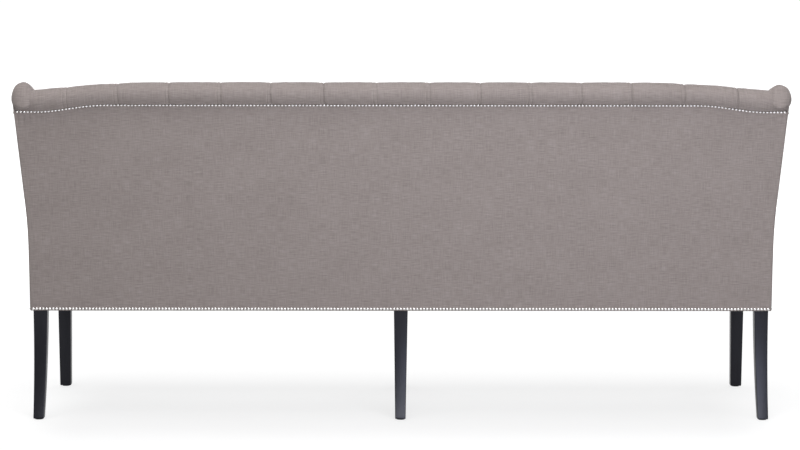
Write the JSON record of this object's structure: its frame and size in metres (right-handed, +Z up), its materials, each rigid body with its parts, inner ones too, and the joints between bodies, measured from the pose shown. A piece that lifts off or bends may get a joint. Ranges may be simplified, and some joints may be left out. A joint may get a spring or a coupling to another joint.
{
  "type": "banquette bench",
  "caption": "Long upholstered dining banquette with a deep-buttoned, rolled and pleated back, short swept wings, nail-head edging and slim tapered black legs.",
  "frame": {"origin": "on the floor, under the middle of the bench's bounding box", "axes": "+X along the bench to the sitter's left, +Y from the seat's front edge to the back, +Z up"},
  "size_m": [2.1996, 0.7055, 0.968],
  "materials": {
    "upholstery": "plain weave of warm grey linen with fine crosswise slubs",
    "nail_metal": "polished nickel domes",
    "leg_wood": "black stain under a satin lacquer",
    "frame_wood": "planed beech, unfinished",
    "board_wood": "birch plywood, unfinished",
    "bolt_steel": "zinc plated",
    "glide_plastic": "moulded nylon",
    "webbing": "woven elastic webbing",
    "wadding": "soft polyester felt",
    "foam": "open-cell foam",
    "dust_cloth": "thin black non-woven cloth"
  },
  "bodies": {
    "bench": {"back_buttons": "upholstery", "back_foam": "foam", "back_post_left": "frame_wood", "back_post_middle": "frame_wood", "back_post_right": "frame_wood", "back_wadding": "wadding", "back_webbing": "webbing", "cross_rail": "frame_wood", "dust_cover": "dust_cloth", "foot_glides": "glide_plastic", "front_apron": "upholstery", "front_apron_wadding": "wadding", "front_corner_blocks": "frame_wood", "front_leg_bolts": "bolt_steel", "front_leg_left": "leg_wood", "front_leg_middle": "leg_wood", "front_leg_right": "leg_wood", "front_rail_left": "frame_wood", "front_rail_right": "frame_wood", "inside_wing_left": "upholstery", "inside_wing_right": "upholstery", "lower_back_rail_left": "frame_wood", "lower_back_rail_right": "frame_wood", "nail_trim_back_bottom": "nail_metal", "nail_trim_back_top": "nail_metal", "nail_trim_front": "nail_metal", "nail_trim_side_left": "nail_metal", "nail_trim_side_right": "nail_metal", "outside_back": "upholstery", "outside_wing_left": "upholstery", "outside_wing_right": "upholstery", "rear_corner_blocks": "frame_wood", "rear_leg_bolts": "bolt_steel", "rear_leg_left": "leg_wood", "rear_leg_middle": "leg_wood", "rear_leg_right": "leg_wood", "rear_rail_left": "frame_wood", "rear_rail_right": "frame_wood", "seat_cover": "upholstery", "seat_foam": "foam", "seat_webbing": "webbing", "side_apron_left": "upholstery", "side_apron_right": "upholstery", "side_apron_wadding_left": "wadding", "side_apron_wadding_right": "wadding", "side_rail_left": "frame_wood", "side_rail_right": "frame_wood", "top_rail": "frame_wood", "top_roll": "upholstery", "tufted_back": "upholstery", "wing_board_left": "board_wood", "wing_board_right": "board_wood", "wing_roll_left": "upholstery", "wing_roll_right": "upholstery", "wing_wadding_left": "wadding", "wing_wadding_right": "wadding"}
  },
  "joints": []
}
